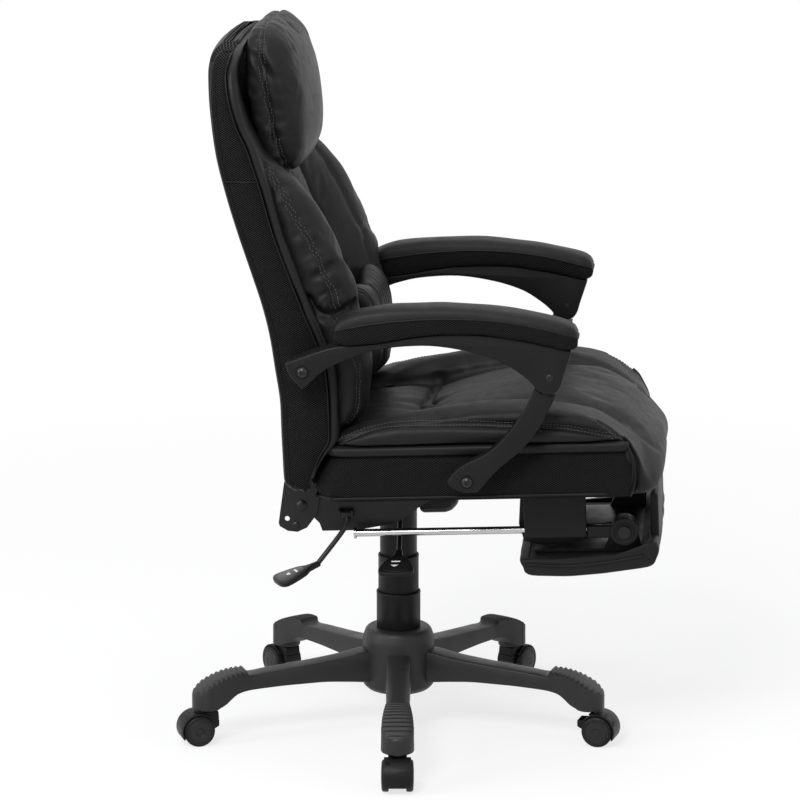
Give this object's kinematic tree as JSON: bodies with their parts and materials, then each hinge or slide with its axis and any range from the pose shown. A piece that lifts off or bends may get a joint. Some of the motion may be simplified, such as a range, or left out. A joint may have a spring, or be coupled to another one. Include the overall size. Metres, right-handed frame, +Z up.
{
  "type": "reclining office chair with footrest",
  "caption": "High-back swivel office chair with padded arms, a reclining back, a headrest and lumbar pillow, and a footrest that slides out and folds over",
  "frame": {"origin": "on the floor, at the middle of the outline of the chair", "axes": "+Z up, +X the way the sitter faces, +Y to the sitter's left"},
  "size_m": [0.7733, 0.6932, 1.1529],
  "materials": {
    "leather": "semi-gloss bonded leather, soft folds, double stitched seams",
    "mesh_fabric": "black spacer mesh with small diamond cells",
    "board": "plywood under a dark dust cloth",
    "chrome": "bright chrome",
    "dark_steel": "black powder coat",
    "black_plastic": "satin black glass-filled nylon, fine grain"
  },
  "bodies": {
    "base": {"base_star": "black_plastic", "gas_tube": "dark_steel", "sleeve_lower": "black_plastic"},
    "caster_1": {"caster_1_hood": "black_plastic"},
    "caster_1_wheel_left": {"caster_1_wheel_left": "black_plastic"},
    "caster_1_wheel_right": {"caster_1_wheel_right": "black_plastic"},
    "caster_2": {"caster_2_hood": "black_plastic"},
    "caster_2_wheel_left": {"caster_2_wheel_left": "black_plastic"},
    "caster_2_wheel_right": {"caster_2_wheel_right": "black_plastic"},
    "caster_3": {"caster_3_hood": "black_plastic"},
    "caster_3_wheel_left": {"caster_3_wheel_left": "black_plastic"},
    "caster_3_wheel_right": {"caster_3_wheel_right": "black_plastic"},
    "caster_4": {"caster_4_hood": "black_plastic"},
    "caster_4_wheel_left": {"caster_4_wheel_left": "black_plastic"},
    "caster_4_wheel_right": {"caster_4_wheel_right": "black_plastic"},
    "caster_5": {"caster_5_hood": "black_plastic"},
    "caster_5_wheel_left": {"caster_5_wheel_left": "black_plastic"},
    "caster_5_wheel_right": {"caster_5_wheel_right": "black_plastic"},
    "middle_sleeve": {"sleeve_middle": "black_plastic"},
    "column": {"gas_piston": "chrome", "sleeve_upper": "black_plastic"},
    "seat": {"mechanism_housing": "dark_steel", "side_plate_left": "dark_steel", "side_plate_right": "dark_steel", "hinge_axle": "dark_steel", "lock_body": "dark_steel", "seat_board": "board", "seat_boxing": "mesh_fabric", "seat_cushion": "leather", "guide_left": "black_plastic", "guide_right": "black_plastic", "arm_seat_bolt_left": "black_plastic", "arm_seat_bolt_right": "black_plastic"},
    "tension_knob": {"tension_knob": "black_plastic"},
    "height_lever": {"height_lever": "black_plastic"},
    "recline_lever": {"recline_lever": "black_plastic"},
    "lock_bar": {"lock_bar": "chrome"},
    "back": {"back_bracket_left": "dark_steel", "back_bracket_right": "dark_steel", "lock_pin": "dark_steel", "back_shell": "mesh_fabric", "back_cushion": "leather", "headrest_pillow": "leather", "lumbar_pillow": "leather", "arm_rear_bolt_left": "black_plastic", "arm_rear_bolt_right": "black_plastic"},
    "arm_left": {"arm_frame_left": "black_plastic", "arm_pad_left": "leather", "arm_pin_left": "dark_steel"},
    "post_left": {"arm_post_left": "black_plastic"},
    "arm_right": {"arm_frame_right": "black_plastic", "arm_pad_right": "leather", "arm_pin_right": "dark_steel"},
    "post_right": {"arm_post_right": "black_plastic"},
    "footrest_slides": {"slide_rod_left": "chrome", "slide_rod_right": "chrome", "eye_arm_left": "black_plastic", "eye_arm_right": "black_plastic"},
    "footrest": {"footrest_frame": "dark_steel", "footrest_pad": "leather"}
  },
  "joints": [
    {"name": "caster_1_swivel", "type": "hinge", "parent": "base", "child": "caster_1", "pos_m": [-0.01328, -0.29675, 0.06], "axis": [0, 0, 1], "continuous": true},
    {"name": "caster_1_wheel_left_roll", "type": "hinge", "parent": "caster_1", "child": "caster_1_wheel_left", "pos_m": [0.0054, -0.3152, 0.025], "axis": [0.9962, 0.0872, 0], "continuous": true},
    {"name": "caster_1_wheel_right_roll", "type": "hinge", "parent": "caster_1", "child": "caster_1_wheel_right", "pos_m": [-0.02847, -0.31816, 0.025], "axis": [0.9962, 0.0872, 0], "continuous": true},
    {"name": "caster_2_swivel", "type": "hinge", "parent": "base", "child": "caster_2", "pos_m": [0.26975, -0.05073, 0.06], "axis": [0, 0, 1], "continuous": true},
    {"name": "caster_2_wheel_left_roll", "type": "hinge", "parent": "caster_2", "child": "caster_2_wheel_left", "pos_m": [0.29306, -0.03866, 0.025], "axis": [0.225, 0.9744, 0], "continuous": true},
    {"name": "caster_2_wheel_right_roll", "type": "hinge", "parent": "caster_2", "child": "caster_2_wheel_right", "pos_m": [0.28541, -0.07179, 0.025], "axis": [0.225, 0.9744, 0], "continuous": true},
    {"name": "caster_3_swivel", "type": "hinge", "parent": "base", "child": "caster_3", "pos_m": [0.12322, 0.29447, 0.06], "axis": [0, 0, 1], "continuous": true},
    {"name": "caster_3_wheel_left_roll", "type": "hinge", "parent": "caster_3", "child": "caster_3_wheel_left", "pos_m": [0.11895, 0.32037, 0.025], "axis": [-0.8572, 0.515, 0], "continuous": true},
    {"name": "caster_3_wheel_right_roll", "type": "hinge", "parent": "caster_3", "child": "caster_3_wheel_right", "pos_m": [0.14809, 0.30286, 0.025], "axis": [-0.8572, 0.515, 0], "continuous": true},
    {"name": "caster_4_swivel", "type": "hinge", "parent": "base", "child": "caster_4", "pos_m": [-0.25036, 0.26179, 0.06], "axis": [0, 0, 1], "continuous": true},
    {"name": "caster_4_wheel_left_roll", "type": "hinge", "parent": "caster_4", "child": "caster_4_wheel_left", "pos_m": [-0.27631, 0.26573, 0.025], "axis": [-0.7547, -0.6561, 0], "continuous": true},
    {"name": "caster_4_wheel_right_roll", "type": "hinge", "parent": "caster_4", "child": "caster_4_wheel_right", "pos_m": [-0.25065, 0.28803, 0.025], "axis": [-0.7547, -0.6561, 0], "continuous": true},
    {"name": "caster_5_swivel", "type": "hinge", "parent": "base", "child": "caster_5", "pos_m": [-0.33472, -0.10361, 0.06], "axis": [0, 0, 1], "continuous": true},
    {"name": "caster_5_wheel_left_roll", "type": "hinge", "parent": "caster_5", "child": "caster_5_wheel_left", "pos_m": [-0.34649, -0.12707, 0.025], "axis": [0.3907, -0.9205, 0], "continuous": true},
    {"name": "caster_5_wheel_right_roll", "type": "hinge", "parent": "caster_5", "child": "caster_5_wheel_right", "pos_m": [-0.35977, -0.09578, 0.025], "axis": [0.3907, -0.9205, 0], "continuous": true},
    {"name": "lift", "type": "slide", "parent": "base", "child": "column", "axis": [0, 0, 1], "range_m": [-0.08, 0.02]},
    {"name": "middle_sleeve_slide", "type": "slide", "parent": "base", "child": "middle_sleeve", "axis": [0, 0, 1], "range_m": [-0.04, 0.01]},
    {"name": "swivel", "type": "hinge", "parent": "column", "child": "seat", "pos_m": [-0.04108, 0.02103, 0.3], "axis": [0, 0, 1], "continuous": true},
    {"name": "tension_knob_turn", "type": "hinge", "parent": "seat", "child": "tension_knob", "pos_m": [0.02078, 0.02103, 0.38866], "axis": [0.999, 0, 0.0436], "continuous": true},
    {"name": "height_lever_pull", "type": "hinge", "parent": "seat", "child": "height_lever", "pos_m": [-0.03217, -0.02997, 0.38635], "axis": [-0.999, 0, -0.0436], "range_deg": [0, 10], "stiffness_Nm_per_rad": 0.6, "springref_deg": -17.19},
    {"name": "recline_lever_pull", "type": "hinge", "parent": "seat", "child": "recline_lever", "pos_m": [-0.11035, -0.12497, 0.38894], "axis": [-0.999, 0, -0.0436], "range_deg": [0, 10], "stiffness_Nm_per_rad": 0.6, "springref_deg": -17.19},
    {"name": "recline", "type": "hinge", "parent": "seat", "child": "back", "pos_m": [-0.18085, 0.02103, 0.39887], "axis": [0, -1, 0], "range_deg": [0, 30]},
    {"name": "lock_bar_slide", "type": "slide", "parent": "seat", "child": "lock_bar", "axis": [0.999, 0, 0.0436], "range_m": [0, 0.019]},
    {"name": "arm_left_pivot", "type": "hinge", "parent": "back", "child": "arm_left", "pos_m": [-0.16008, 0.29603, 0.648], "axis": [0, -1, 0], "range_deg": [-22, 0]},
    {"name": "post_left_pivot", "type": "hinge", "parent": "seat", "child": "post_left", "pos_m": [0.08992, 0.29603, 0.48], "axis": [0, -1, 0], "range_deg": [0, 42]},
    {"name": "arm_right_pivot", "type": "hinge", "parent": "back", "child": "arm_right", "pos_m": [-0.16008, -0.25397, 0.648], "axis": [0, -1, 0], "range_deg": [-22, 0]},
    {"name": "post_right_pivot", "type": "hinge", "parent": "seat", "child": "post_right", "pos_m": [0.08992, -0.25397, 0.48], "axis": [0, -1, 0], "range_deg": [0, 42]},
    {"name": "footrest_slide", "type": "slide", "parent": "seat", "child": "footrest_slides", "axis": [0.999, 0, 0.0436], "range_m": [0, 0.25]},
    {"name": "footrest_flip", "type": "hinge", "parent": "footrest_slides", "child": "footrest", "pos_m": [0.32663, 0.02103, 0.37599], "axis": [0, -1, 0], "range_deg": [0, 180]}
  ],
  "couplings": [
    {"joint": "middle_sleeve_slide", "follows": "lift", "ratio": 0.5},
    {"joint": "lock_bar_slide", "follows": "recline", "m_per_rad": 0.0334},
    {"joint": "arm_left_pivot", "follows": "recline", "ratio": -0.658},
    {"joint": "post_left_pivot", "follows": "recline", "ratio": 1.321},
    {"joint": "arm_right_pivot", "follows": "recline", "ratio": -0.658},
    {"joint": "post_right_pivot", "follows": "recline", "ratio": 1.321}
  ]
}
